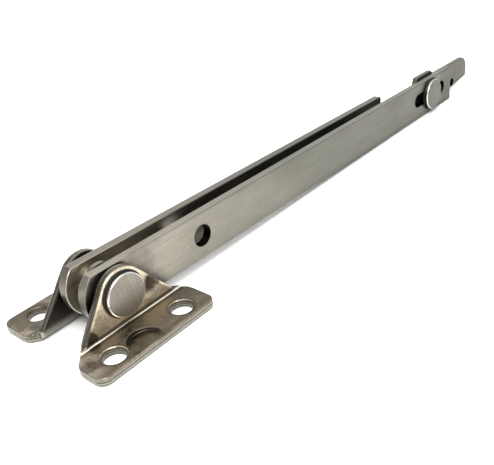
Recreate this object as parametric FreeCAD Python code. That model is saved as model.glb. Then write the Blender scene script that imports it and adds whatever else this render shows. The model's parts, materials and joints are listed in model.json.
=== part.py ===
import FreeCAD, Part
import math
import os

from FreeCAD import Vector

# Flat-bar window stay, in millimetres.
# X runs along the arms, Y from the front bracket to the rear bracket, Z up.
# The origin is the centre of the four screw holes, on the mounting face.
# The pivot pin lies along Y above the origin. Both arms are modelled level,
# with the pivot at their own origin, and are then pitched down until the
# lower corner of their far end rests on the mounting face.

# ---- driving dimensions ----
# flat bar of both arms
bar_width = 15.0
bar_thickness = 3.0
arm_gap = 5.4
arm_end_radius = 10.0
long_arm_length = 200.0
short_arm_length = 153.0
edge_break = 0.3
far_corner_radius = 0.8

# pivot
pivot_height = 11.6
pin_radius = 4.0
running_clearance = 0.05
bush_radius = 5.0
head_radius = 6.4
head_thickness = 1.1
head_bevel = 0.5
spigot_radius = 2.5
spigot_dome_radius = 3.2
spigot_dome_height = 0.6

# washers and spacers on the pin
head_washer_radius = 6.8
head_washer_thickness = 0.6
web_washer_radius = 6.8
web_gap = 1.0
centre_disc_radius = 6.6
centre_disc_thickness = 1.5
spacer_radius = 5.6

# pressed brackets: the x values are the rear one's, and the front one is the same part turned round
plate_thickness = 2.5
bend_inner_radius = 0.6
web_top_radius = 7.8
web_base_left_x = -17.2
web_base_right_x = 15.2
flange_half_length = 20.9
flange_edge_y = 22.6
flange_corner_radius = 3.0
flare_blend_radius = 4.0
flare_setback = 0.5
plate_edge_break = 0.35
screw_spacing_x = 24.5
screw_spacing_y = 34.0
screw_hole_radius = 3.3
screw_rim_break = 0.55
recess_radius = 4.9
recess_x = 3.2
recess_y = 19.0
recess_depth = 1.0

# holes in the arms
long_arm_hole_x = 34.6
arm_hole_radius = 3.5
short_arm_hole_x = short_arm_length - 9.0
slot_start_x = 166.8
slot_end_x = 193.7
slot_height = 5.6
slot_z = 0.5

# slider, measured along the long arm from the pivot
stud_x = 181.0
stud_head_radius = 6.5
stud_head_thickness = 1.4
stud_neck_radius = 1.5
stud_washer_radius = 6.9
stud_washer_thickness = 0.4
block_half_length = 4.0
block_clearance = 0.05
glide_thickness = 0.35
slide_plate_thickness = 2.0
plate_start_x = 163.0
plate_lower_z = -6.0
plate_upper_z = 5.4
ear_start_x = 173.2
ear_end_x = 187.2
ear_top_z = 8.7
ear_front_slope = 1.6
ear_rear_slope = 3.4
tongue_upper_z = 6.3
tongue_lower_z = -5.4
tongue_taper_x = 206.0
tongue_round_x = 217.0
tongue_tip_x = 223.4
tongue_tip_z = 0.0
tongue_tip_lower_z = -3.3
tongue_round_bulge = 0.25
tongue_hole_x = 208.7
tongue_hole_z = -2.7
tongue_hole_radius = 1.8
glide_end_x = 198.0
glide_lower_z = -5.4
rivet_washer_radius = 4.5
rivet_washer_thickness = 0.8
rivet_dome_radius = 2.6
rivet_dome_height = 0.6

# ---- positions that follow ----
arm_inner_y = arm_gap / 2
arm_outer_y = arm_inner_y + bar_thickness
web_inner_y = arm_outer_y + web_gap
web_outer_y = web_inner_y + plate_thickness
flare_start_y = web_inner_y + flare_setback
head_seat_y = web_outer_y + head_washer_thickness
head_face_y = head_seat_y + head_thickness
pin_bore_radius = pin_radius + running_clearance
glide_y = -arm_inner_y + running_clearance
plate_y = glide_y + glide_thickness
plate_back_y = plate_y + slide_plate_thickness
stud_washer_y = -arm_outer_y - running_clearance
stud_seat_y = stud_washer_y - stud_washer_thickness

PIVOT = Vector(0, 0, pivot_height)
Y_AXIS = Vector(0, 1, 0)


def rest_pitch(arm_length):
    """Angle in degrees that sets the lower corner of the arm's far end on the mounting face."""
    half_width = bar_width / 2
    reach = math.hypot(arm_length, half_width)
    return math.degrees(math.asin(pivot_height / reach) - math.atan2(half_width, arm_length))


long_arm_pitch = rest_pitch(long_arm_length)
short_arm_pitch = rest_pitch(short_arm_length)


# ---- helpers ----
def y_cylinder(radius, y_low, y_high, x=0.0, z=0.0):
    """Cylinder along Y between two Y values."""
    return Part.makeCylinder(radius, y_high - y_low, Vector(x, y_low, z), Y_AXIS)


def y_ring(radius, bore, y_low, y_high):
    """Washer or sleeve along Y, centred on the pivot's own axis."""
    return y_cylinder(radius, y_low, y_high).cut(y_cylinder(bore, y_low - 1, y_high + 1))


def xz_prism(edges, y_low, y_high):
    """Solid from a closed outline in the XZ plane, between two Y values."""
    face = Part.Face(Part.Wire(edges))
    face.translate(Vector(0, y_low, 0))
    return face.extrude(Vector(0, y_high - y_low, 0))


def polyline(points):
    """Straight edges through the points, left open."""
    return [Part.makeLine(start, end) for start, end in zip(points, points[1:])]


def arc(start, middle, end):
    return Part.Arc(start, middle, end).toShape()


def at(x, z):
    return Vector(x, 0, z)


def fillet_where(shape, radius, test):
    """Fillets the edges for which the test is true."""
    return shape.makeFillet(radius, [edge for edge in shape.Edges if test(edge)])


def lies_on_y(edge, *levels):
    """True if the whole edge lies in one of the planes Y = level."""
    box = edge.BoundBox
    return box.YLength < 1e-6 and any(abs(box.YMin - level) < 1e-6 for level in levels)


def is_y_line(edge):
    """True for a straight edge along Y."""
    box = edge.BoundBox
    return box.YLength > 0.1 and box.XLength < 1e-6 and box.ZLength < 1e-6


def moved_to_pivot(shape):
    shape.translate(PIVOT)
    return shape


def pitched(shape, pitch):
    """Turns a level arm's part down about the pivot, and lifts it to the pivot's height."""
    shape.rotate(Vector(0, 0, 0), Y_AXIS, pitch)
    return moved_to_pivot(shape)


def on_long_arm(shape):
    return pitched(shape, long_arm_pitch)


# ---- brackets ----
def bracket_profile():
    """L section in the YZ plane: web up, flange out, both bend radii about one centre."""
    outer_radius = bend_inner_radius + plate_thickness
    bend_y = web_outer_y + bend_inner_radius
    bend_z = plate_thickness + bend_inner_radius
    top_z = pivot_height + web_top_radius + 1
    slant = math.sqrt(0.5)

    def point(y, z):
        return Vector(-flange_half_length, y, z)

    def on_bend(radius):
        return point(bend_y - radius * slant, bend_z - radius * slant)

    edges = [
        Part.makeLine(point(web_inner_y, top_z), point(web_inner_y, outer_radius)),
        arc(point(web_inner_y, bend_z), on_bend(outer_radius), point(bend_y, 0)),
        Part.makeLine(point(bend_y, 0), point(flange_edge_y, 0)),
        Part.makeLine(point(flange_edge_y, 0), point(flange_edge_y, plate_thickness)),
        Part.makeLine(point(flange_edge_y, plate_thickness), point(bend_y, plate_thickness)),
        arc(point(bend_y, plate_thickness), on_bend(bend_inner_radius), point(web_outer_y, bend_z)),
        Part.makeLine(point(web_outer_y, bend_z), point(web_outer_y, top_z)),
        Part.makeLine(point(web_outer_y, top_z), point(web_inner_y, top_z)),
    ]
    return Part.Face(Part.Wire(edges)).extrude(Vector(2 * flange_half_length, 0, 0))


def web_tangent(base_x, base_z):
    """Point where the side that rises from the base touches the round top."""
    side = math.copysign(1, base_x)
    drop = pivot_height - base_z
    to_base = math.hypot(base_x, drop)
    angle = math.atan2(drop, abs(base_x)) + math.asin(web_top_radius / to_base)
    return at(side * web_top_radius * math.sin(angle), pivot_height + web_top_radius * math.cos(angle))


def web_outline():
    """Triangle with a round top: two sides tangent to the arc about the pivot."""
    base_z = plate_thickness + bend_inner_radius
    left_tangent = web_tangent(web_base_left_x, base_z)
    right_tangent = web_tangent(web_base_right_x, base_z)
    base = [at(web_base_left_x, base_z), at(web_base_left_x, -1),
            at(web_base_right_x, -1), at(web_base_right_x, base_z)]
    top = arc(right_tangent, at(0, pivot_height + web_top_radius), left_tangent)
    return polyline([left_tangent, *base, right_tangent]) + [top]


def flange_outline():
    """Seen from above: 45 degree flares from the web's foot, round corners at the free edge."""
    ring = [
        (web_base_right_x, flare_start_y),
        (flange_half_length, flare_start_y + flange_half_length - web_base_right_x),
        (flange_half_length, flange_edge_y),
        (-flange_half_length, flange_edge_y),
        (-flange_half_length, flare_start_y + flange_half_length + web_base_left_x),
        (web_base_left_x, flare_start_y),
    ]
    points = [Vector(x, y, 0) for x, y in ring]
    top_z = plate_thickness + bend_inner_radius
    plate = Part.Face(Part.Wire(polyline(points + points[:1]))).extrude(Vector(0, 0, top_z))

    def is_free_corner(edge):
        return edge.BoundBox.ZLength > 1 and edge.BoundBox.YMin > flange_edge_y - 0.1

    def is_flare_corner(edge):
        box = edge.BoundBox
        return box.ZLength > 1 and flare_start_y + 0.1 < box.YMin < flange_edge_y - 0.1

    plate = fillet_where(plate, flange_corner_radius, is_free_corner)
    return fillet_where(plate, flare_blend_radius, is_flare_corner)


def coined_recess():
    """Half-round dish that is deepest at its back and runs out at the flange's free edge."""
    back_y = recess_y - recess_radius
    floor = [
        Vector(-flange_half_length, flange_edge_y, plate_thickness),
        Vector(-flange_half_length, back_y, plate_thickness - recess_depth),
        Vector(-flange_half_length, back_y, plate_thickness + 1),
        Vector(-flange_half_length, flange_edge_y, plate_thickness + 1),
    ]
    wedge = Part.Face(Part.Wire(polyline(floor + floor[:1]))).extrude(Vector(2 * flange_half_length, 0, 0))
    round_end = Part.makeCylinder(recess_radius, plate_thickness * 2, Vector(recess_x, recess_y, 0))
    run_out = Part.makeBox(2 * recess_radius, flange_edge_y, plate_thickness * 2,
                           Vector(recess_x - recess_radius, recess_y, 0))
    return wedge.common(round_end.fuse(run_out))


def rear_bracket():
    """Web with broken edges and a flared flange, trimmed to the bent plate's section."""
    profile = bracket_profile()
    web = xz_prism(web_outline(), web_inner_y, web_outer_y)
    web = fillet_where(web, plate_edge_break, lambda edge: lies_on_y(edge, web_inner_y, web_outer_y))
    plate = web.common(profile).fuse(flange_outline().common(profile)).removeSplitter()
    plate = plate.cut(y_cylinder(pin_bore_radius, web_inner_y - 1, web_outer_y + 1, z=pivot_height))
    for side in (-1, 1):
        centre = Vector(side * screw_spacing_x / 2, screw_spacing_y / 2, -1)
        plate = plate.cut(Part.makeCylinder(screw_hole_radius, plate_thickness + 2, centre))
    plate = plate.cut(coined_recess()).removeSplitter()

    def is_screw_rim(edge):
        round_edge = isinstance(edge.Curve, Part.Circle) and abs(edge.Curve.Radius - screw_hole_radius) < 1e-6
        return round_edge and edge.BoundBox.ZMin > plate_thickness - 1e-6

    return fillet_where(plate, screw_rim_break, is_screw_rim)


# ---- pivot stack ----
def pivot_pin():
    """Pin with a flat bevelled head in front and a riveted spigot at the rear."""
    head = y_cylinder(head_radius, -head_face_y, -head_seat_y)
    head = fillet_where(head, head_bevel, lambda edge: lies_on_y(edge, -head_face_y))
    shaft = y_cylinder(pin_radius, -head_seat_y, head_seat_y)
    spigot = y_cylinder(spigot_radius, head_seat_y, head_face_y)
    dome = y_cylinder(spigot_dome_radius, head_face_y, head_face_y + spigot_dome_height)
    dome = fillet_where(dome, spigot_dome_height * 0.6,
                        lambda edge: lies_on_y(edge, head_face_y + spigot_dome_height))
    return moved_to_pivot(head.fuse([shaft, spigot, dome]).removeSplitter())


def pin_rear_cap():
    cap = y_ring(head_radius, spigot_radius, head_seat_y, head_face_y)

    def is_outer_rim(edge):
        return lies_on_y(edge, head_face_y) and edge.BoundBox.XLength > head_radius

    return moved_to_pivot(fillet_where(cap, head_bevel, is_outer_rim))


def pin_ring(radius, y_low, y_high):
    """Washer or spacer that sits on the pin."""
    return moved_to_pivot(y_ring(radius, pin_bore_radius, y_low, y_high))


# ---- arms ----
def arm_blank(length, y_low, y_high):
    """Flat bar: near end an arc about the pivot, far end square with broken corners."""
    half_width = bar_width / 2
    corner_x = -math.sqrt(arm_end_radius ** 2 - half_width ** 2)
    edges = [
        arc(at(corner_x, -half_width), at(-arm_end_radius, 0), at(corner_x, half_width)),
        *polyline([at(corner_x, half_width), at(length, half_width),
                   at(length, -half_width), at(corner_x, -half_width)]),
    ]
    blank = xz_prism(edges, y_low, y_high)
    return fillet_where(blank, far_corner_radius, lambda edge: is_y_line(edge) and edge.BoundBox.XMin > 1)


def broken_edges(blank, y_low, y_high):
    return fillet_where(blank, edge_break, lambda edge: lies_on_y(edge, y_low, y_high))


def long_slot(y_low, y_high, start_x, end_x, height):
    """Round-ended block along X at the slot's height."""
    radius = height / 2
    bar = Part.makeBox(end_x - start_x - height, y_high - y_low, height,
                       Vector(start_x + radius, y_low, slot_z - radius))
    ends = [y_cylinder(radius, y_low, y_high, x=x, z=slot_z) for x in (start_x + radius, end_x - radius)]
    return bar.fuse(ends).removeSplitter()


def long_arm():
    y_low, y_high = -arm_outer_y, -arm_inner_y
    arm = broken_edges(arm_blank(long_arm_length, y_low, y_high), y_low, y_high)
    arm = arm.cut(y_cylinder(bush_radius, y_low - 1, y_high + 1))
    arm = arm.cut(y_cylinder(arm_hole_radius, y_low - 1, y_high + 1, x=long_arm_hole_x))
    arm = arm.cut(long_slot(y_low - 1, y_high + 1, slot_start_x, slot_end_x, slot_height))
    return on_long_arm(arm)


def short_arm():
    y_low, y_high = arm_inner_y, arm_outer_y
    arm = broken_edges(arm_blank(short_arm_length, y_low, y_high), y_low, y_high)
    arm = arm.cut(y_cylinder(bush_radius, y_low - 1, y_high + 1))
    arm = arm.cut(y_cylinder(arm_hole_radius, y_low - 1, y_high + 1, x=short_arm_hole_x))
    return pitched(arm, short_arm_pitch)


def arm_bush(y_low, y_high, pitch):
    return pitched(y_ring(bush_radius, pin_bore_radius, y_low, y_high), pitch)


# ---- slider on the long arm ----
def at_stud(radius, y_low, y_high):
    """Cylinder about the stud's axis, on the level arm."""
    return y_cylinder(radius, y_low, y_high, x=stud_x, z=slot_z)


def slide_stud():
    """Flat head in front, neck through the slot, riveted dome behind the plate."""
    neck_end_y = plate_back_y + rivet_washer_thickness
    head = at_stud(stud_head_radius, stud_seat_y - stud_head_thickness, stud_seat_y)
    head = fillet_where(head, head_bevel, lambda edge: lies_on_y(edge, stud_seat_y - stud_head_thickness))
    neck = at_stud(stud_neck_radius, stud_seat_y, neck_end_y)
    dome = at_stud(rivet_dome_radius, neck_end_y, neck_end_y + rivet_dome_height)
    dome = fillet_where(dome, rivet_dome_height * 0.6,
                        lambda edge: lies_on_y(edge, neck_end_y + rivet_dome_height))
    return on_long_arm(head.fuse([neck, dome]).removeSplitter())


def neck_hole(y_low, y_high):
    return at_stud(stud_neck_radius, y_low - 1, y_high + 1)


def stud_ring(radius, y_low, y_high):
    return on_long_arm(at_stud(radius, y_low, y_high).cut(neck_hole(y_low, y_high)))


def slide_block():
    """Round-ended block on the stud's neck; it fills the slot's height and keeps the tongue in line."""
    block = long_slot(stud_washer_y, glide_y, stud_x - block_half_length, stud_x + block_half_length,
                      slot_height - 2 * block_clearance)
    return on_long_arm(block.cut(neck_hole(stud_washer_y, glide_y)))


def glide_strip():
    """Thin strip between the arm and the slide plate, behind the whole slot."""
    strip = Part.makeBox(glide_end_x - plate_start_x, glide_thickness, plate_upper_z - glide_lower_z,
                         Vector(plate_start_x, glide_y, glide_lower_z))
    return on_long_arm(strip.cut(neck_hole(glide_y, plate_y)))


def tongue_corner():
    """Arc over the tongue's upper far corner, fuller than a straight cut between its ends."""
    start = at(tongue_round_x, tongue_upper_z)
    end = at(tongue_tip_x, tongue_tip_z)
    corner = at(tongue_tip_x, tongue_upper_z)
    chord_middle = (start + end) / 2
    return arc(start, chord_middle + (corner - chord_middle) * 2 * tongue_round_bulge, end)


def slide_plate():
    """Body behind the slot, an ear above the arm's top edge, and a tongue with one round corner."""
    outline = [
        *polyline([
            at(tongue_tip_x, tongue_tip_z),
            at(tongue_tip_x, tongue_tip_lower_z),
            at(tongue_taper_x, tongue_lower_z),
            at(ear_end_x + ear_rear_slope, tongue_lower_z),
            at(ear_end_x, plate_lower_z),
            at(plate_start_x, plate_lower_z),
            at(plate_start_x, plate_upper_z),
            at(ear_start_x, plate_upper_z),
            at(ear_start_x + ear_front_slope, ear_top_z),
            at(ear_end_x, ear_top_z),
            at(ear_end_x + ear_rear_slope, tongue_upper_z),
            at(tongue_round_x, tongue_upper_z),
        ]),
        tongue_corner(),
    ]
    plate = xz_prism(outline, plate_y, plate_back_y)

    def is_soft_corner(edge):
        box = edge.BoundBox
        is_ear_corner = box.ZMin > tongue_upper_z + 0.1
        is_tip_corner = box.XMin > tongue_tip_x - 0.1 and box.ZMax < tongue_tip_z - 0.1
        return is_y_line(edge) and (is_ear_corner or is_tip_corner)

    plate = fillet_where(plate, far_corner_radius, is_soft_corner)
    plate = broken_edges(plate, plate_y, plate_back_y)
    tongue_hole = y_cylinder(tongue_hole_radius, plate_y - 1, plate_back_y + 1,
                             x=tongue_hole_x, z=tongue_hole_z)
    return on_long_arm(plate.cut(tongue_hole).cut(neck_hole(plate_y, plate_back_y)))


# ---- all the pieces, one solid each ----
def build_pieces():
    rear = rear_bracket()
    front = rear.copy()
    front.rotate(Vector(0, 0, 0), Vector(0, 0, 1), 180)
    disc_half = centre_disc_thickness / 2
    spacer_end = arm_inner_y - running_clearance
    web_washer_low = arm_outer_y + running_clearance
    return {
        "front_bracket": front,
        "rear_bracket": rear,
        "pivot_pin": pivot_pin(),
        "pin_rear_cap": pin_rear_cap(),
        "front_head_washer": pin_ring(head_washer_radius, -head_seat_y, -web_outer_y),
        "rear_head_washer": pin_ring(head_washer_radius, web_outer_y, head_seat_y),
        "front_web_washer": pin_ring(web_washer_radius, -web_inner_y, -web_washer_low),
        "rear_web_washer": pin_ring(web_washer_radius, web_washer_low, web_inner_y),
        "front_spacer": pin_ring(spacer_radius, -spacer_end, -disc_half),
        "rear_spacer": pin_ring(spacer_radius, disc_half, spacer_end),
        "centre_disc": pin_ring(centre_disc_radius, -disc_half, disc_half),
        "long_arm": long_arm(),
        "long_arm_bush": arm_bush(-arm_outer_y, -arm_inner_y, long_arm_pitch),
        "short_arm": short_arm(),
        "short_arm_bush": arm_bush(arm_inner_y, arm_outer_y, short_arm_pitch),
        "slide_stud": slide_stud(),
        "stud_washer": stud_ring(stud_washer_radius, stud_seat_y, stud_washer_y),
        "slide_block": slide_block(),
        "glide_strip": glide_strip(),
        "slide_plate": slide_plate(),
        "stud_rivet_washer": stud_ring(rivet_washer_radius, plate_back_y,
                                       plate_back_y + rivet_washer_thickness),
    }


os.makedirs("parts", exist_ok=True)
print("rest pitch of the long and short arm: %.3f and %.3f degrees" % (long_arm_pitch, short_arm_pitch))
for name, shape in build_pieces().items():
    piece = shape.Solids[0] if len(shape.Solids) == 1 else shape
    print("%-20s %d solid(s), %8.1f mm3, valid %s" % (name, len(shape.Solids), shape.Volume, shape.isValid()))
    piece.exportStep("parts/%s.step" % name)
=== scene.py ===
import json
import math

import bpy
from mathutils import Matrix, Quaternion, Vector


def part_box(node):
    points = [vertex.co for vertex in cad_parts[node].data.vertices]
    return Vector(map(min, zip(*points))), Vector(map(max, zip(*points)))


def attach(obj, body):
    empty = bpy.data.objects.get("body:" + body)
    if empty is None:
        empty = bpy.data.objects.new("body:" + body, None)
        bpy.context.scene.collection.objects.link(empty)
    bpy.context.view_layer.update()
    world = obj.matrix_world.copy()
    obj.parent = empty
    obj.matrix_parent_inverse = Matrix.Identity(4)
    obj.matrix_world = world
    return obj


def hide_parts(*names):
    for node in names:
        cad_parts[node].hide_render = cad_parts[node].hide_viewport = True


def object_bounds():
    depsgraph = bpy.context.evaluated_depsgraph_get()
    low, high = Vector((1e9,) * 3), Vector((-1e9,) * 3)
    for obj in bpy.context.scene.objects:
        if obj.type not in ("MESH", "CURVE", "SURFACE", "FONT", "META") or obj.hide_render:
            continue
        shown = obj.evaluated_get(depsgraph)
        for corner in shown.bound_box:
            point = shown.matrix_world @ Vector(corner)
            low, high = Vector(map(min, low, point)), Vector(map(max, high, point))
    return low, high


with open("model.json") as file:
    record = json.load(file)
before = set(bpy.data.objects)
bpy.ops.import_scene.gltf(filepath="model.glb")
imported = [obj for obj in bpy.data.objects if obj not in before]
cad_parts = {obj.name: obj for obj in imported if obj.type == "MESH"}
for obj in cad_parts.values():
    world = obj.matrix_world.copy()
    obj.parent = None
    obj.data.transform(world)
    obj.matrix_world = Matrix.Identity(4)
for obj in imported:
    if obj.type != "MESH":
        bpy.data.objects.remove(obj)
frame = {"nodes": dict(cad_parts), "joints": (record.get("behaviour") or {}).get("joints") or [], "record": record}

# Flat-bar window stay in brushed and tumbled stainless steel.
# Everything is in metres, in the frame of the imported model: X along the arms,
# Y from the front bracket to the rear bracket, Z up from the mounting face.

CAD_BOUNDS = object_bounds()
MM = 0.001

nodes_by_name = frame["nodes"]
joint_by_name = {joint["name"]: joint for joint in frame["joints"]}

# The slide's axis runs along the long arm, so it gives the arm's pitch at rest.
slide_axis = Vector(joint_by_name["tongue_slide"]["axis"])
long_arm_pitch = math.atan2(-slide_axis.z, slide_axis.x)
pivot = Vector(joint_by_name["long_arm_pivot"]["pos_m"])


# ---------------------------------------------------------------- node helpers
# The mix node has sockets for every data type; these are the colour ones.
MIX_COLOUR_A, MIX_COLOUR_B = 6, 7
MIX_COLOUR_RESULT = 2


class Shader:
    """A material's node tree, with one short method for each kind of node it needs."""

    def __init__(self, name):
        self.material = bpy.data.materials.new(name)
        self.material.use_nodes = True
        self.tree = self.material.node_tree
        self.tree.nodes.clear()
        self.output = self.node("ShaderNodeOutputMaterial")
        self.surface = self.node("ShaderNodeBsdfPrincipled")
        self.link(self.surface.outputs["BSDF"], self.output.inputs["Surface"])
        self.place = self.node("ShaderNodeTexCoord").outputs["Object"]
        self.normal = self.node("ShaderNodeNewGeometry").outputs["Normal"]

    def node(self, kind, **settings):
        made = self.tree.nodes.new(kind)
        for key, value in settings.items():
            setattr(made, key, value)
        return made

    def link(self, source, target):
        self.tree.links.new(source, target)

    def put(self, value, target):
        """Links a socket, or sets a plain value."""
        if isinstance(value, bpy.types.NodeSocket):
            self.link(value, target)
        else:
            target.default_value = value

    def finish(self, colour, roughness, normal, metallic=1.0):
        self.link(colour, self.surface.inputs["Base Color"])
        self.link(roughness, self.surface.inputs["Roughness"])
        self.link(normal, self.surface.inputs["Normal"])
        self.surface.inputs["Metallic"].default_value = metallic
        return self.material

    def turned(self, turn, shift=(0, 0, 0)):
        """Object coordinates turned by three angles, then shifted."""
        made = self.node("ShaderNodeMapping")
        self.link(self.place, made.inputs["Vector"])
        made.inputs["Rotation"].default_value = turn
        made.inputs["Location"].default_value = shift
        return made.outputs["Vector"]

    def vector_math(self, operation, first, second=(0, 0, 0)):
        made = self.node("ShaderNodeVectorMath", operation=operation)
        self.put(first, made.inputs[0])
        self.put(second, made.inputs[1])
        return made.outputs["Value" if operation in ("LENGTH", "DISTANCE", "DOT_PRODUCT") else "Vector"]

    def noise(self, vector, sizes, detail=3.0, rough=0.55, shift=0.0):
        """Noise whose features measure sizes, in millimetres along each axis."""
        scaled = self.vector_math("MULTIPLY", vector, [1 / (size * MM) for size in sizes])
        made = self.node("ShaderNodeTexNoise")
        self.link(self.vector_math("ADD", scaled, (shift, shift, shift)), made.inputs["Vector"])
        made.inputs["Scale"].default_value = 1.0
        made.inputs["Detail"].default_value = detail
        made.inputs["Roughness"].default_value = rough
        return made.outputs["Fac"]

    def cells(self, vector, size):
        made = self.node("ShaderNodeTexVoronoi", feature="F1")
        self.link(vector, made.inputs["Vector"])
        made.inputs["Scale"].default_value = 1 / (size * MM)
        return made.outputs["Distance"]

    def remap(self, value, low, high, to_low=0.0, to_high=1.0):
        made = self.node("ShaderNodeMapRange", interpolation_type="SMOOTHSTEP")
        self.link(value, made.inputs["Value"])
        limits = {"From Min": low, "From Max": high, "To Min": to_low, "To Max": to_high}
        for key, number in limits.items():
            made.inputs[key].default_value = number
        return made.outputs["Result"]

    def math(self, operation, first, second=0.5):
        made = self.node("ShaderNodeMath", operation=operation)
        self.put(first, made.inputs[0])
        self.put(second, made.inputs[1])
        return made.outputs["Value"]

    def parts(self, vector):
        made = self.node("ShaderNodeSeparateXYZ")
        self.link(vector, made.inputs["Vector"])
        return made.outputs

    def mix(self, factor, first, second):
        """Blends two colours; factor is a socket or a number."""
        made = self.node("ShaderNodeMix", data_type="RGBA", clamp_factor=True)
        self.put(factor, made.inputs[0])
        for value, index in ((first, MIX_COLOUR_A), (second, MIX_COLOUR_B)):
            plain = not isinstance(value, bpy.types.NodeSocket)
            self.put((*value, 1.0) if plain else value, made.inputs[index])
        return made.outputs[MIX_COLOUR_RESULT]

    def tint(self, colour, mask, strength, towards):
        """Blends a colour towards another where the mask is 1; strength is a socket or a number."""
        return self.mix(self.math("MULTIPLY", mask, strength), colour, towards)

    def gap_to(self, first, first_at, second, second_at):
        """Distance in the plane of two coordinates from one point of it."""
        across = self.math("SUBTRACT", first, first_at)
        over = self.math("SUBTRACT", second, second_at)
        return self.math("SQRT", self.math("ADD", self.math("MULTIPLY", across, across),
                                           self.math("MULTIPLY", over, over)))

    def bump(self, height, strength, distance, normal=None):
        made = self.node("ShaderNodeBump")
        made.inputs["Strength"].default_value = strength
        made.inputs["Distance"].default_value = distance * MM
        self.link(height, made.inputs["Height"])
        if normal is not None:
            self.link(normal, made.inputs["Normal"])
        return made.outputs["Normal"]

    def edge(self, radius):
        """0 on flat faces, up to 1 along the edges."""
        bevel = self.node("ShaderNodeBevel", samples=6)
        bevel.inputs["Radius"].default_value = radius * MM
        same = self.vector_math("DOT_PRODUCT", bevel.outputs["Normal"], self.normal)
        return self.remap(same, 0.995, 0.86)

    def crevice(self, distance, low=0.25, high=0.9):
        """1 deep in corners and gaps, 0 in the open."""
        made = self.node("ShaderNodeAmbientOcclusion", samples=8)
        made.inputs["Distance"].default_value = distance * MM
        return self.remap(made.outputs["AO"], high, low)

    def bore(self, vector, centre, radius, half_run=0.0):
        """1 on the wall of a hole along Y, or of a slot that runs half_run each way along X."""
        offset = self.parts(self.vector_math("SUBTRACT", vector, centre))
        past_run = self.math("SUBTRACT", self.math("ABSOLUTE", offset[0]), half_run)
        beyond = self.math("MAXIMUM", past_run, 0.0)
        flat = self.node("ShaderNodeCombineXYZ")
        self.link(beyond, flat.inputs["X"])
        self.link(offset[2], flat.inputs["Z"])
        distance = self.vector_math("LENGTH", flat.outputs["Vector"])
        return self.remap(distance, radius + 0.12 * MM, radius + 0.04 * MM)

    def spot(self, centre, radius, soft):
        """1 inside an uneven ball about the centre, fading over its outer part."""
        waver = self.noise(self.place, (3.0, 3.0, 3.0), detail=2.0, shift=2.0)
        uneven = self.math("MULTIPLY", waver, radius)
        distance = self.math("ADD", self.vector_math("DISTANCE", self.place, centre), uneven)
        return self.remap(distance, 1.4 * radius, radius * (1.4 - soft))


# ------------------------------------------------------------------- materials
# Base colours. The near and far steels are the two ends of the arms' slow drift in colour: partly a real
# warm-to-greenish drift, partly painted light, lighter at the near end and painted shade at the far end.
NEAR_STEEL_LIT = (0.325, 0.300, 0.256)
FAR_STEEL_SHADED = (0.178, 0.178, 0.150)
DARK_STEEL = (0.125, 0.117, 0.095)
BRIGHT_STEEL = (0.50, 0.48, 0.43)
GAP_PAINTED_LIGHT = (0.80, 0.72, 0.58)
# Colour of painted shade, for darkening in corners, gaps, hollows and soft dark spots.
PAINTED_SHADE = (0.020, 0.018, 0.015)
# Colour of the painted shade on the walls of holes and the slot.
BLACK = (0.005, 0.0045, 0.004)
PLATE_STEEL = (0.36, 0.32, 0.255)
PLATE_TAN = (0.40, 0.340, 0.245)
PLATE_DARK = (0.060, 0.049, 0.036)
WEB_PAINTED_LIGHT = (0.88, 0.76, 0.58)
SHEARED_STEEL = (0.25, 0.24, 0.20)
TORN_STEEL = (0.33, 0.325, 0.285)
BEND_HIGHLIGHT = (0.72, 0.68, 0.58)
RIM_HIGHLIGHT = (0.92, 0.90, 0.85)
TURNED_LIGHT = (0.28, 0.26, 0.22)
TURNED_DARK = (0.18, 0.165, 0.135)
NYLON_DARK = (0.006, 0.006, 0.006)
NYLON_LIGHT = (0.014, 0.013, 0.012)
NYLON_RUBBED = (0.045, 0.043, 0.040)
FLOOR_TONES = ((0.90, 0.90, 0.90), (0.92, 0.92, 0.915))

# How far a head's rim faces along Y, from 0 across it to 1 straight along it.
RIM_LEAN = 0.62


def bar_tone(s, local, tones, fade):
    """Slow drift between the two tones, either along X between the two of fade or in clouds; along X it is partly
    painted light and shade, lighter at the near end and darker at the far end.
    """
    tone = s.noise(s.place, (40.0, 16.0, 16.0), detail=2.0, shift=7.0)
    if fade:
        drift = s.math("ADD", s.parts(local)[0], s.math("MULTIPLY", s.math("SUBTRACT", tone, 0.5), 0.09))
        return s.mix(s.remap(drift, *fade), *tones)
    return s.mix(s.remap(tone, 0.35, 0.65), *tones)


def paint_gap_light(s, local, colour, crevice_shade, open_end):
    """The face in the gap between the arms gets painted light at the gap's open end, with less painted shade
    there.
    """
    place_x = s.parts(local)[0]
    facing_gap = s.remap(s.parts(s.normal)[1], -0.5, -0.9)
    painted_light = s.math("MULTIPLY", facing_gap, s.math("SUBTRACT", 1.0, s.remap(place_x, *open_end)))
    crevice_shade = s.math("MULTIPLY", crevice_shade, s.remap(place_x, *open_end, 0.15, 1.0))
    return s.tint(colour, painted_light, 0.9, GAP_PAINTED_LIGHT), crevice_shade


def head_rim_highlight(s, colour, roughness):
    """The rim of a head gets a painted highlight and is smooth; its faces lean between along Y and across it."""
    lean = s.math("ABSOLUTE", s.parts(s.normal)[1])
    rim = s.remap(s.math("ABSOLUTE", s.math("SUBTRACT", lean, RIM_LEAN)), 0.36, 0.22)
    return s.mix(rim, colour, RIM_HIGHLIGHT), s.math("MULTIPLY", roughness, s.remap(rim, 0.0, 1.0, 1.0, 0.35))


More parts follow.
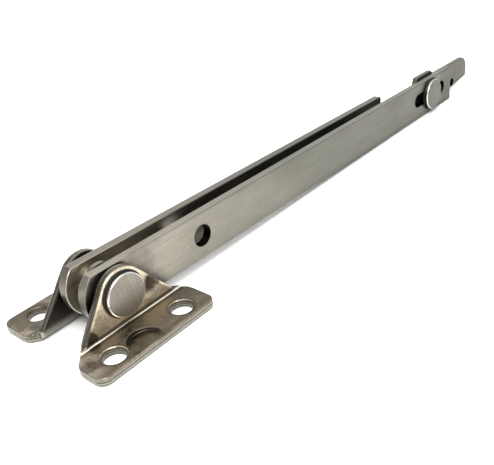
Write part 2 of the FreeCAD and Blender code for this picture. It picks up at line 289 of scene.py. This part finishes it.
def brushed_steel(name, turn, along, shift=(0, 0, 0), rough=(0.27, 0.42), grain=1.0,
                  tones=(NEAR_STEEL_LIT, FAR_STEEL_SHADED), fade=None, bores=(), shades=(), open_end=None,
                  bevel=False):
    """Steel with a straight grain along one axis after the turn.

    tones are the two colours it drifts between, and fade the two X where the first becomes the second (along the
    arms partly painted light and shade);
    bores are holes whose walls are painted black for their shade, and shades are soft spots of painted shade
    (centre, radius, strength);
    open_end gives the two X between which the gap between the arms goes from painted light to painted shade;
    bevel gives the rim of a head a painted highlight and makes it smooth.
    """
    s = Shader(name)
    local = s.turned(turn, shift)

    def streaks(length, width, **options):
        sizes = [width] * 3
        sizes["xyz".index(along)] = length
        return s.noise(local, sizes, **options)

    fine = streaks(9.0, 0.16, detail=4.0, rough=0.7)
    coarse = streaks(34.0, 0.75, detail=3.0, rough=0.6)
    scratch = s.remap(streaks(14.0, 0.3, detail=1.0, shift=5.0), 0.70, 0.78)
    cloud = s.noise(s.place, (18.0, 8.0, 8.0), detail=3.0)
    speck = s.noise(s.place, (0.5, 0.5, 0.5), detail=3.0, rough=0.65)
    grainy = s.math("ADD", s.math("MULTIPLY", fine, 0.6), s.math("MULTIPLY", coarse, 0.4))

    colour = bar_tone(s, local, tones, fade)
    colour = s.mix(s.remap(speck, 0.40, 0.70, 0.0, 0.22), colour, DARK_STEEL)
    colour = s.mix(s.remap(grainy, 0.38, 0.62, 0.0, 0.24 * grain), colour, DARK_STEEL)
    colour = s.mix(s.remap(cloud, 0.45, 0.75, 0.0, 0.25), colour, DARK_STEEL)
    colour = s.tint(colour, scratch, 0.30, BRIGHT_STEEL)
    # Edges lighter: edge wear and a painted highlight.
    colour = s.tint(colour, s.edge(0.35), 0.30, BRIGHT_STEEL)
    # Painted shade: colour darkened in corners and in the gap between the arms, where shade falls.
    crevice_shade = s.math("MULTIPLY", s.crevice(6.0), 0.75)
    if open_end:
        colour, crevice_shade = paint_gap_light(s, local, colour, crevice_shade, open_end)
    colour = s.mix(crevice_shade, colour, PAINTED_SHADE)
    not_rear = s.remap(s.parts(s.normal)[1], 0.6, 0.1)
    # Painted shade: soft dark spots tinted into the colour.
    for centre, radius, strength in shades:
        shade = s.math("MULTIPLY", s.spot(centre, radius, 0.6), not_rear)
        colour = s.tint(colour, shade, strength, PAINTED_SHADE)
    # Painted shade: the walls of the holes and the slot are painted black.
    for centre, radius, half_run in bores:
        colour = s.mix(s.bore(local, centre, radius, half_run), colour, BLACK)

    cloudy = s.remap(cloud, 0.3, 0.75, -0.03, 0.06)
    roughness = s.math("ADD", s.remap(grainy, 0.35, 0.65, *rough), cloudy)
    if bevel:
        colour, roughness = head_rim_highlight(s, colour, roughness)
    height = s.math("ADD", grainy, s.math("MULTIPLY", scratch, -0.5))
    return s.finish(colour, roughness, s.bump(height, 0.35 * grain, 0.03))


class PlateShader(Shader):
    """The brackets' material, with coordinates that suit both of them.

    The rear bracket is the front one turned half round. So out is the distance from the middle of the
    stay, and along is X on the front bracket and its opposite on the rear one.
    """

    def __init__(self, name):
        super().__init__(name)
        self.x, self.y, self.z = self.parts(self.place)
        normal = self.parts(self.normal)
        is_rear = self.math("GREATER_THAN", self.y, 0.0)
        sign = self.math("SUBTRACT", 1.0, self.math("MULTIPLY", is_rear, 2.0))
        self.along = self.math("MULTIPLY", self.x, sign)
        self.out = self.math("ABSOLUTE", self.y)
        self.on_flange = self.math("LESS_THAN", self.z, PLATE_THICKNESS + 0.6 * MM)
        self.off_flange = self.math("SUBTRACT", 1.0, self.on_flange)
        flange_side = self.remap(self.math("ABSOLUTE", normal[2]), 0.75, 0.35)
        web_side = self.remap(self.math("ABSOLUTE", normal[1]), 0.75, 0.35)
        self.side = self.math("ADD", self.math("MULTIPLY", self.on_flange, flange_side),
                              self.math("MULTIPLY", self.off_flange, web_side))
        self.from_dish = self.gap_to(self.along, -DISH_X, self.out, DISH_Y)
        self.speck = self.noise(self.place, (0.42, 0.42, 0.42), detail=3.0, rough=0.65)
        self.crumple = self.noise(self.place, (2.2, 2.2, 2.2), detail=2.0)
        self.wander = self.math("MULTIPLY", self.math("SUBTRACT", self.crumple, 0.5), 0.5 * MM)

    def darken(self, colour, mask, strength, dark=PLATE_DARK):
        return self.tint(colour, mask, strength, dark)

    def outer_face(self, blotch, dark_patches):
        """Blotched plate with painted light on the web's outer face, patches of painted dark reflection and a fine
        dark speckle.
        """
        patch = self.noise(self.place, (12.0, 12.0, 12.0), detail=2.0, shift=3.0)
        colour = self.mix(self.remap(patch, 0.35, 0.65), PLATE_STEEL, PLATE_TAN)
        # Painted light: the web's outer face is made lighter than the rest of the same plate.
        above_bend = self.remap(self.z, PLATE_THICKNESS + 0.5 * MM, PLATE_THICKNESS + 1.5 * MM)
        on_face = self.remap(self.out, WEB_OUTER_Y - 0.5 * MM, WEB_OUTER_Y - 0.2 * MM)
        colour = self.tint(colour, self.math("MULTIPLY", above_bend, on_face), 0.9, WEB_PAINTED_LIGHT)
        colour = self.darken(colour, self.remap(blotch, 0.48, 0.70), 0.50)
        # Painted dark reflections in patches.
        for centre, radius, strength in dark_patches:
            colour = self.darken(colour, self.spot(centre, radius, 0.5), strength)
        return self.darken(colour, self.remap(self.speck, 0.42, 0.70), 0.55)

    def free_edge(self, colour):
        """Painted shade on the flange just behind its free edge, but not in the dish."""
        uneven = self.math("ADD", self.out, self.wander)
        near = self.remap(uneven, FLANGE_EDGE - 4.0 * MM, FLANGE_EDGE - 1.2 * MM)
        off_dish = self.remap(self.from_dish, 4.2 * MM, 5.4 * MM)
        return self.darken(colour, self.math("MULTIPLY", near, off_dish), 0.45)

    def sheared_edges(self, colour):
        """Edges have a torn band on the mounting side, a smooth one outside and a dark seam between; the web's
        edges get painted shade.
        """
        depth = self.math("MINIMUM", self.z, self.math("SUBTRACT", self.out, WEB_INNER_Y))
        level = self.math("ADD", depth, self.wander)
        from_seam = self.math("ABSOLUTE", self.math("SUBTRACT", level, 1.3 * MM))
        bare = self.mix(self.remap(level, 1.4 * MM, 1.2 * MM), SHEARED_STEEL, TORN_STEEL)
        bare = self.darken(bare, self.remap(from_seam, 0.24 * MM, 0.06 * MM), 0.95)
        bare = self.darken(bare, self.remap(self.speck, 0.42, 0.70), 0.45)
        # Painted shade on the web's edges.
        bare = self.darken(bare, self.off_flange, 0.45)
        return self.mix(self.side, colour, bare)

    def coined_dish(self, colour):
        """Painted shade along the dish's wall, clearing towards its middle and its open side."""
        wall = self.math("MULTIPLY", self.remap(self.from_dish, 1.6 * MM, 4.4 * MM),
                         self.remap(self.from_dish, 5.4 * MM, 5.0 * MM))
        slanted = self.math("SUBTRACT", self.out, self.math("MULTIPLY", self.along, 0.4))
        toward_web = self.remap(slanted, DISH_Y + 3 * MM, DISH_Y - 1 * MM)
        return self.darken(colour, self.math("MULTIPLY", wall, toward_web), 0.92, PAINTED_SHADE)

    def screw_holes(self, colour):
        """Painted shade: a dark line round each rolled rim, and a darker wall."""
        from_hole = self.gap_to(self.math("ABSOLUTE", self.x), SCREW_X, self.out, SCREW_Y)
        from_rim = self.math("ABSOLUTE", self.math("SUBTRACT", from_hole, SCREW_RADIUS + 0.8 * MM))
        colour = self.darken(colour, self.remap(from_rim, 0.45 * MM, 0.1 * MM), 0.45)
        wall = self.remap(from_hole, SCREW_RADIUS + 0.3 * MM, SCREW_RADIUS + 0.1 * MM)
        return self.darken(colour, wall, 0.55)

    def bend_line(self, colour):
        """A painted highlight line in the corner between web and flange, with a painted dark line on either side.
        """
        from_bend = self.gap_to(self.out, WEB_OUTER_Y + 0.25 * MM, self.z, PLATE_THICKNESS + 0.25 * MM)
        colour = self.darken(colour, self.remap(from_bend, 1.6 * MM, 0.8 * MM), 0.6)
        bend_highlight = self.math("MULTIPLY", self.remap(from_bend, 0.42 * MM, 0.20 * MM),
                            self.math("SUBTRACT", 1.0, self.side))
        return self.tint(colour, bend_highlight, 0.9, BEND_HIGHLIGHT)

    def inner_faces(self, colour):
        """Painted shade on the webs' facing sides, less low down where the bend turns out."""
        inside = self.remap(self.out, WEB_INNER_Y + 0.5 * MM, WEB_INNER_Y + 0.2 * MM)
        return self.darken(colour, inside, self.remap(self.z, 2.0 * MM, 4.5 * MM, 0.45, 0.95), PAINTED_SHADE)


def tumbled_steel(name, dark_patches):
    """Pressed plate after tumbling: no grain, soft blotches, tiny dints and two-tone sheared edges."""
    s = PlateShader(name)
    blotch = s.noise(s.place, (6.5, 6.5, 6.5), detail=4.0)
    colour = s.outer_face(blotch, dark_patches)
    features = (s.free_edge, s.sheared_edges, s.coined_dish, s.screw_holes, s.bend_line, s.inner_faces)
    for feature in features:
        colour = feature(colour)
    # Edges lighter: edge wear and a painted highlight.
    colour = s.tint(colour, s.edge(0.5), 0.18, BRIGHT_STEEL)
    # Painted shade in corners and gaps.
    colour = s.darken(colour, s.crevice(2.5, 0.2, 0.8), 0.7, PAINTED_SHADE)

    specked = s.remap(s.speck, 0.3, 0.7, -0.04, 0.08)
    roughness = s.math("ADD", s.remap(blotch, 0.35, 0.7, 0.26, 0.42), specked)
    relief = s.bump(s.crumple, 0.6, 0.16)
    relief = s.bump(s.cells(s.place, 0.75), 0.30, 0.03, relief)
    return s.finish(colour, roughness, s.bump(s.speck, 0.35, 0.03, relief))


def polished_steel(name):
    """Turned steel, smooth and rather dark, with faint smears and painted shade in the corners."""
    s = Shader(name)
    smear = s.noise(s.place, (5.5, 1.1, 5.5), detail=3.0)
    speck = s.noise(s.place, (0.5, 0.5, 0.5), detail=2.0)
    colour = s.mix(s.remap(smear, 0.35, 0.7), TURNED_LIGHT, TURNED_DARK)
    colour = s.tint(colour, s.crevice(3.0), 0.85, PAINTED_SHADE)
    return s.finish(colour, s.remap(smear, 0.3, 0.7, 0.14, 0.27), s.bump(speck, 0.15, 0.01))


def moulded_nylon(name):
    """Black nylon with a fine matt texture and paler rubbed edges."""
    s = Shader(name)
    grain = s.noise(s.place, (0.3, 0.3, 0.3), detail=2.0)
    cloud = s.noise(s.place, (4.0, 4.0, 4.0), detail=2.0)
    colour = s.mix(s.remap(cloud, 0.3, 0.7), NYLON_DARK, NYLON_LIGHT)
    colour = s.tint(colour, s.edge(0.2), 0.25, NYLON_RUBBED)
    s.surface.inputs["Specular IOR Level"].default_value = 0.25
    return s.finish(colour, s.remap(cloud, 0.3, 0.7, 0.55, 0.7), s.bump(grain, 0.3, 0.02), metallic=0.0)


def pale_floor(name):
    """Matt and nearly white."""
    s = Shader(name)
    cloud = s.noise(s.place, (300.0, 300.0, 300.0), detail=2.0)
    s.surface.inputs["Specular IOR Level"].default_value = 0.2
    colour = s.mix(s.remap(cloud, 0.3, 0.7), *FLOOR_TONES)
    roughness = s.remap(cloud, 0.3, 0.7, 0.72, 0.78)
    return s.finish(colour, roughness, s.bump(cloud, 0.05, 0.05), metallic=0.0)


# ------------------------------------------------- places read from the model
mounts = {mount["name"]: mount for mount in frame["record"]["mounts"]}
WEB_INNER_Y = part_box("rear_web_washer")[1].y
PLATE_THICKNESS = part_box("rear_head_washer")[0].y - WEB_INNER_Y
WEB_OUTER_Y = WEB_INNER_Y + PLATE_THICKNESS
SCREW_X = mounts["base_screws"]["dims"]["spacing_x_mm"] / 2 * MM
SCREW_Y = mounts["base_screws"]["dims"]["spacing_y_mm"] / 2 * MM
SCREW_RADIUS = mounts["base_screws"]["dims"]["hole_r_mm"] * MM
FLANGE_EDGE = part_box("rear_bracket")[1].y
# Centre of the rear flange's coined dish, the same as in the CAD: it is neither a node nor a mount.
DISH_X, DISH_Y = 3.2 * MM, 19.0 * MM


def arm_shift(pitch):
    """Shift that puts the pivot at zero, for coordinates already turned by the arm's pitch."""
    return (pivot.z * math.sin(pitch), 0, -pivot.z * math.cos(pitch))


def on_arm(point, pitch):
    """A point of the frame in an arm's own level coordinates, without its Y."""
    x, _, z = point
    rise = z - pivot.z
    level_x = x * math.cos(pitch) - rise * math.sin(pitch)
    level_z = x * math.sin(pitch) + rise * math.cos(pitch)
    return (level_x, 0, level_z)


def mount_bore(name, pitch):
    mount = mounts[name]
    return (on_arm(mount["pos_m"], pitch), mount["dims"]["r_mm"] * MM, 0.0)


short_mount = Vector(mounts["short_arm_hole"]["pos_m"])
short_arm_pitch = math.atan2(pivot.z - short_mount.z, short_mount.x)

# The long arm's slot: the room that the slide block needs over the slide's travel.
SLOT_SIDE_ROOM = 0.05 * MM
SLOT_END_ROOM = 0.1 * MM
block_low, block_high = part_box("slide_block")
block_half = (block_high.x - block_low.x) / 2
block_x, _, block_z = on_arm((block_low + block_high) / 2, long_arm_pitch)
slide_back, slide_on = joint_by_name["tongue_slide"]["range_m"]
slot_middle = (block_x + (slide_back + slide_on) / 2, 0, block_z)
slot_radius = (block_high.z - block_low.z) / 2 + SLOT_SIDE_ROOM
slot_half_run = (slide_on - slide_back) / 2 + block_half - slot_radius + SLOT_END_ROOM

# Painted dark reflections on the brackets (centre, radius, strength): two on the front web, one end of the front
# flange, and that half of the rear flange.
painted_dark_patches = [
    ((-0.0125, -WEB_OUTER_Y, 0.0045), 0.0034, 0.95),
    ((0.0098, -WEB_OUTER_Y, 0.0100), 0.0042, 0.95),
    ((-0.0190, -0.0150, PLATE_THICKNESS), 0.0040, 0.6),
    ((-0.0150, 0.0180, PLATE_THICKNESS), 0.0110, 0.75),
]

# Painted shade on the long arm (centre, radius, strength): soft dark spots at its pivot end, beside the head, and
# at its far end.
long_low, long_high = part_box("long_arm")
bar_shades = [
    ((long_low.x, (long_low.y + long_high.y) / 2, pivot.z), 0.0055, 0.55),
    ((0.0100, long_low.y, 0.0150), 0.0080, 0.25),
    ((0.1980, long_low.y, 0.0100), 0.0140, 0.35),
]


def dimmed(tone, share):
    return [share * part for part in tone]


# The arms' fade from near to far steel is partly painted light: lighter by the pivot, painted shade towards the
# far ends.
arm_fade = (0.010, 0.090)
gap_open_end = (0.002, 0.034)
long_arm_grain = dict(turn=(0, -long_arm_pitch, 0), shift=arm_shift(long_arm_pitch), along="x")
short_arm_grain = dict(turn=(0, -short_arm_pitch, 0), shift=arm_shift(short_arm_pitch), along="x")
upright_grain = dict(turn=(0, math.radians(10), 0), along="z")
materials = {
    "bar": brushed_steel("bar_brushed_steel", **long_arm_grain, fade=arm_fade, shades=bar_shades,
                         bores=[mount_bore("long_arm_hole", long_arm_pitch),
                                (slot_middle, slot_radius, slot_half_run)]),
    # Painted shade: the short arm is a darker copy of the arm steel, for the shade behind the long arm.
    "short_bar": brushed_steel("short_bar_steel_shaded", **short_arm_grain, fade=arm_fade,
                               tones=(dimmed(NEAR_STEEL_LIT, 0.68), dimmed(FAR_STEEL_SHADED, 0.68)),
                               bores=[mount_bore("short_arm_hole", short_arm_pitch)],
                               open_end=gap_open_end),
    # Painted shade: the slide is a darker copy of the far steel, for the light falling off at the far end.
    "slide": brushed_steel("slide_steel_shaded", **long_arm_grain, rough=(0.32, 0.46),
                           tones=(dimmed(FAR_STEEL_SHADED, 0.75), dimmed(FAR_STEEL_SHADED, 0.75)),
                           bores=[mount_bore("tongue_hole", long_arm_pitch)]),
    "head": brushed_steel("head_brushed_steel", **upright_grain, grain=1.5, bevel=True,
                          tones=(NEAR_STEEL_LIT, dimmed(NEAR_STEEL_LIT, 0.9))),
    # Painted shade: the stud gets the far steel, darker than the pin head's, for the light falling off at the far
    # end.
    "stud": brushed_steel("stud_steel_shaded", **upright_grain, bevel=True,
                          tones=(dimmed(FAR_STEEL_SHADED, 0.9), dimmed(FAR_STEEL_SHADED, 0.9))),
    "plate": tumbled_steel("plate_tumbled_steel", painted_dark_patches),
    "polished": polished_steel("polished_steel"),
    "nylon": moulded_nylon("black_nylon"),
}

finish_of = {
    "front_bracket": "plate",
    "rear_bracket": "plate",
    "pivot_pin": "head",
    "pin_rear_cap": "head",
    "front_head_washer": "nylon",
    "rear_head_washer": "nylon",
    "front_web_washer": "nylon",
    "rear_web_washer": "nylon",
    "front_spacer": "polished",
    "rear_spacer": "polished",
    "centre_disc": "polished",
    "long_arm": "bar",
    "long_arm_bush": "nylon",
    "short_arm": "short_bar",
    "short_arm_bush": "nylon",
    "slide_stud": "stud",
    "stud_washer": "nylon",
    # The black slide block and glide strip show black through the slot, standing in for its shade.
    "slide_block": "nylon",
    "glide_strip": "nylon",
    "slide_plate": "slide",
    "stud_rivet_washer": "stud",
}
for node_name, node in nodes_by_name.items():
    node.data.materials.clear()
    node.data.materials.append(materials[finish_of[node_name]])


# -------------------------------------------------------------- tumbled plates
VOXEL = 0.22 * MM
WELD_DISTANCE = 0.002 * MM
SMOOTHING_ROUNDS = 7
DENTS = [
    # centre, direction of the push, radius, depth: web on either side of the pin, and the flange's end
    ((-0.0128, -WEB_OUTER_Y, 0.0042), (0, 1, 0), 0.0034, 0.00020),
    ((0.0098, -WEB_OUTER_Y, 0.0100), (0, 1, 0), 0.0040, 0.00022),
    ((-0.0165, -0.0150, PLATE_THICKNESS), (0, 0, -1), 0.0034, 0.00016),
]


def dent(vertices, centre, push, radius, depth):
    """Presses a soft round hollow into the face about the centre."""
    centre, push = Vector(centre), Vector(push)
    for vertex in vertices:
        share = (vertex.co - centre).length / radius
        if share < 1:
            vertex.co += push * depth * (1 - share * share) ** 2


def roll_edges(piece):
    """Gives the piece's mesh with every edge rolled over: welded, remeshed finely and smoothed."""
    weld = piece.modifiers.new("weld", "WELD")
    weld.merge_threshold = WELD_DISTANCE
    remesh = piece.modifiers.new("remesh", "REMESH")
    remesh.mode = "VOXEL"
    remesh.voxel_size = VOXEL
    remesh.use_smooth_shade = True
    smooth = piece.modifiers.new("smooth", "SMOOTH")
    smooth.factor = 0.5
    smooth.iterations = SMOOTHING_ROUNDS
    graph = bpy.context.evaluated_depsgraph_get()
    rolled = bpy.data.meshes.new_from_object(piece.evaluated_get(graph))
    piece.modifiers.clear()
    return rolled


def keep_inside(vertices, low, high):
    """Brings back to the box every vertex that has left it."""
    for vertex in vertices:
        for axis, value in enumerate(vertex.co):
            vertex.co[axis] = min(max(value, low[axis]), high[axis])


def tumbled_plate(node_name, half_turn):
    """The bracket as it leaves the tumbler: edges rolled over, soft dents, kept inside its CAD box."""
    piece = bpy.data.objects.new(node_name + "_tumbled", nodes_by_name[node_name].data.copy())
    bpy.context.scene.collection.objects.link(piece)
    piece.data = roll_edges(piece)
    vertices = piece.data.vertices
    sign = -1 if half_turn else 1
    for centre, push, radius, depth in DENTS:
        turned_centre = (centre[0] * sign, centre[1] * sign, centre[2])
        turned_push = (push[0] * sign, push[1] * sign, push[2])
        dent(vertices, turned_centre, turned_push, radius, depth)
    keep_inside(vertices, *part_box(node_name))
    piece.data.materials.clear()
    piece.data.materials.append(materials["plate"])
    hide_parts(node_name)
    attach(piece, "base")


tumbled_plate("front_bracket", False)
tumbled_plate("rear_bracket", True)


# ----------------------------------------------------------------------- stage
FLOOR_HALF = 4.0
FLOOR_DROP = 0.02 * MM


def stage_floor():
    signs = ((-1, -1), (1, -1), (1, 1), (-1, 1))
    corners = [(x_sign * FLOOR_HALF, y_sign * FLOOR_HALF, 0) for x_sign, y_sign in signs]
    mesh = bpy.data.meshes.new("floor")
    mesh.from_pydata(corners, [], [(0, 1, 2, 3)])
    floor = bpy.data.objects.new("floor", mesh)
    floor.location.z = CAD_BOUNDS[0].z - FLOOR_DROP
    mesh.materials.append(pale_floor("floor_pale"))
    bpy.context.scene.collection.objects.link(floor)


def area_light(name, place, aim, width, height, power, colour=(1, 1, 1)):
    data = bpy.data.lights.new(name, "AREA")
    data.shape = "RECTANGLE"
    data.size, data.size_y = width, height
    data.energy = power
    data.color = colour
    light = bpy.data.objects.new(name, data)
    light.location = place
    light.rotation_mode = "QUATERNION"
    light.rotation_quaternion = (Vector(aim) - Vector(place)).to_track_quat("-Z", "Y")
    bpy.context.scene.collection.objects.link(light)


def studio_light():
    world = bpy.data.worlds.new("studio")
    world.use_nodes = True
    background = world.node_tree.nodes["Background"]
    background.inputs["Color"].default_value = (1.0, 0.99, 0.97, 1.0)
    background.inputs["Strength"].default_value = 0.70
    bpy.context.scene.world = world
    area_light("key", (-0.12, -0.25, 0.42), (0.03, 0, 0), 0.35, 0.35, 2.8)
    area_light("back", (0.8, 0.7, 0.55), (0.1, 0, 0), 1.6, 0.8, 3.0)
    area_light("top", (0.05, 0.05, 1.1), (0.05, 0.05, 0), 1.3, 1.3, 8.5)


# ---------------------------------------------------------------------- camera
def camera():
    azimuth, elevation, roll = (math.radians(angle) for angle in (-45.84, 29.30, -7.62))
    aim = Vector((0.0489, -0.0106, 0.0060))
    distance = 0.214
    back = Vector((math.sin(azimuth) * math.cos(elevation),
                   -math.cos(azimuth) * math.cos(elevation),
                   math.sin(elevation)))
    data = bpy.data.cameras.new("camera")
    data.sensor_width = 36.0
    data.lens = 49.27
    data.clip_start = 0.005
    data.clip_end = 20.0
    made = bpy.data.objects.new("camera", data)
    made.location = aim + back * distance
    made.rotation_mode = "QUATERNION"
    made.rotation_quaternion = (-back).to_track_quat("-Z", "Y") @ Quaternion((0, 0, 1), roll)
    bpy.context.scene.collection.objects.link(made)
    bpy.context.scene.camera = made


stage_floor()
studio_light()
camera()
bpy.context.scene.view_settings.view_transform = "Standard"
